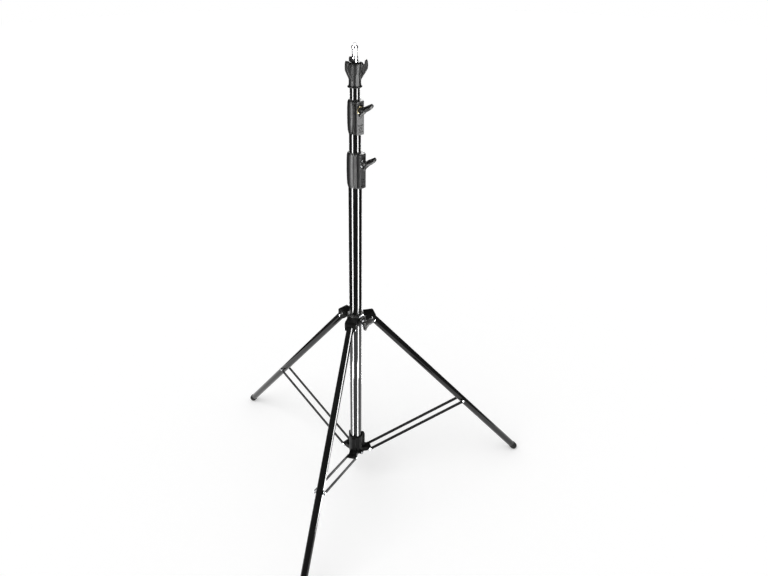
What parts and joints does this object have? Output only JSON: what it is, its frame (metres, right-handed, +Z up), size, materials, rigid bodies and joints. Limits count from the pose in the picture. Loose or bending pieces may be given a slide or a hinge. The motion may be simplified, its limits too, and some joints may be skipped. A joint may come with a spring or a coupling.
{
  "type": "light stand",
  "caption": "Folding light stand: telescoping round column with lever-knob clamping collars, tubular tripod legs on a sliding hub with flat strap braces, a hooked cap and a mounting spigot.",
  "frame": {"origin": "middle of the bounding box at floor level; the column's axis stands 139 mm behind it, on +Y", "axes": "+Z up along the column, -Y along the front leg, +X to the right for a viewer in front of that leg"},
  "size_m": [0.9852, 0.8564, 1.3625],
  "materials": {
    "gloss_black_tube": "gloss black coating on drawn aluminium tube",
    "satin_black_casting": "satin black powder coat on die-cast alloy",
    "satin_black_strap": "satin black paint on pressed steel strap",
    "grey_nylon": "moulded grey nylon",
    "black_rubber": "moulded black rubber",
    "chrome": "bright chrome plate",
    "zinc_plated_steel": "bright zinc plated steel",
    "brass": "turned brass"
  },
  "bodies": {
    "column": {"base_tube": "gloss_black_tube", "bottom_plug": "black_rubber", "bottom_bracket": "satin_black_casting", "bracket_screw": "zinc_plated_steel", "brace_pin_front": "zinc_plated_steel", "brace_pin_right": "zinc_plated_steel", "brace_pin_left": "zinc_plated_steel", "base_collar": "satin_black_casting", "base_collar_screw": "satin_black_strap", "base_collar_bush": "grey_nylon", "base_collar_shoe": "brass"},
    "middle_riser": {"middle_tube": "gloss_black_tube", "middle_guide": "grey_nylon", "middle_collar": "satin_black_casting", "middle_collar_screw": "satin_black_strap", "middle_collar_bush": "grey_nylon", "middle_collar_shoe": "brass"},
    "top_riser": {"top_tube": "gloss_black_tube", "top_guide": "grey_nylon", "top_cap": "satin_black_casting", "spigot": "chrome"},
    "base_knob": {"base_knob": "satin_black_casting", "base_knob_screw": "zinc_plated_steel", "base_knob_washer": "chrome"},
    "middle_knob": {"middle_knob": "satin_black_casting", "middle_knob_screw": "zinc_plated_steel", "middle_knob_washer": "brass"},
    "hub": {"leg_hub": "satin_black_casting", "hub_sleeve": "grey_nylon", "hub_nut_plate": "zinc_plated_steel", "leg_pin_front": "gloss_black_tube", "leg_pin_right": "gloss_black_tube", "leg_pin_left": "gloss_black_tube"},
    "hub_knob": {"hub_knob": "satin_black_casting", "hub_knob_screw": "zinc_plated_steel", "hub_knob_washer": "zinc_plated_steel"},
    "leg_front": {"leg_head_front": "satin_black_casting", "leg_rivet_front": "zinc_plated_steel", "leg_tube_front": "gloss_black_tube", "foot_front": "black_rubber"},
    "leg_right": {"leg_head_right": "satin_black_casting", "leg_rivet_right": "zinc_plated_steel", "leg_tube_right": "gloss_black_tube", "foot_right": "black_rubber"},
    "leg_left": {"leg_head_left": "satin_black_casting", "leg_rivet_left": "zinc_plated_steel", "leg_tube_left": "gloss_black_tube", "foot_left": "black_rubber"},
    "brace_front": {"brace_strap_front_a": "satin_black_strap", "brace_strap_front_b": "satin_black_strap", "brace_rivet_front_a": "zinc_plated_steel", "brace_rivet_front_b": "zinc_plated_steel"},
    "brace_right": {"brace_strap_right_a": "satin_black_strap", "brace_strap_right_b": "satin_black_strap", "brace_rivet_right_a": "zinc_plated_steel", "brace_rivet_right_b": "zinc_plated_steel"},
    "brace_left": {"brace_strap_left_a": "satin_black_strap", "brace_strap_left_b": "satin_black_strap", "brace_rivet_left_a": "zinc_plated_steel", "brace_rivet_left_b": "zinc_plated_steel"}
  },
  "joints": [
    {"name": "middle_riser_slide", "type": "slide", "parent": "column", "child": "middle_riser", "axis": [0, 0, 1], "range_m": [-0.045, 0.78]},
    {"name": "top_riser_slide", "type": "slide", "parent": "middle_riser", "child": "top_riser", "axis": [0, 0, 1], "range_m": [-0.024, 0.8]},
    {"name": "hub_slide", "type": "slide", "parent": "column", "child": "hub", "axis": [0, 0, 1], "range_m": [0, 0.3135]},
    {"name": "leg_front_fold", "type": "hinge", "parent": "hub", "child": "leg_front", "pos_m": [0, 0.09599, 0.6098], "axis": [1, 0, 0], "range_deg": [0, 40.58]},
    {"name": "leg_right_fold", "type": "hinge", "parent": "hub", "child": "leg_right", "pos_m": [0.03724, 0.16049, 0.6098], "axis": [-0.5, 0.866, 0], "range_deg": [0, 40.58]},
    {"name": "leg_left_fold", "type": "hinge", "parent": "hub", "child": "leg_left", "pos_m": [-0.03724, 0.16049, 0.6098], "axis": [-0.5, -0.866, 0], "range_deg": [0, 40.58]},
    {"name": "brace_front_fold", "type": "hinge", "parent": "column", "child": "brace_front", "pos_m": [0, 0.09599, 0.115], "axis": [-1, 0, 0], "range_deg": [0, 66.11]},
    {"name": "brace_right_fold", "type": "hinge", "parent": "column", "child": "brace_right", "pos_m": [0.03724, 0.16049, 0.115], "axis": [0.5, -0.866, 0], "range_deg": [0, 66.11]},
    {"name": "brace_left_fold", "type": "hinge", "parent": "column", "child": "brace_left", "pos_m": [-0.03724, 0.16049, 0.115], "axis": [0.5, 0.866, 0], "range_deg": [0, 66.11]},
    {"name": "base_knob_turn", "type": "hinge", "parent": "column", "child": "base_knob", "pos_m": [0, 0.13899, 1.075], "axis": [0.866, -0.5, 0], "range_deg": [0, 540]},
    {"name": "middle_knob_turn", "type": "hinge", "parent": "middle_riser", "child": "middle_knob", "pos_m": [0, 0.13899, 1.2105], "axis": [0.7431, -0.6691, 0], "range_deg": [0, 540]},
    {"name": "hub_knob_turn", "type": "hinge", "parent": "hub", "child": "hub_knob", "pos_m": [0, 0.13899, 0.6035], "axis": [0.866, -0.5, 0], "range_deg": [0, 540]}
  ],
  "couplings": [
    {"joint": "leg_front_fold", "follows": "hub_slide", "rad_per_m": 2.259},
    {"joint": "leg_right_fold", "follows": "hub_slide", "rad_per_m": 2.259},
    {"joint": "leg_left_fold", "follows": "hub_slide", "rad_per_m": 2.259},
    {"joint": "brace_front_fold", "follows": "hub_slide", "rad_per_m": 3.6801},
    {"joint": "brace_right_fold", "follows": "hub_slide", "rad_per_m": 3.6801},
    {"joint": "brace_left_fold", "follows": "hub_slide", "rad_per_m": 3.6801}
  ]
}
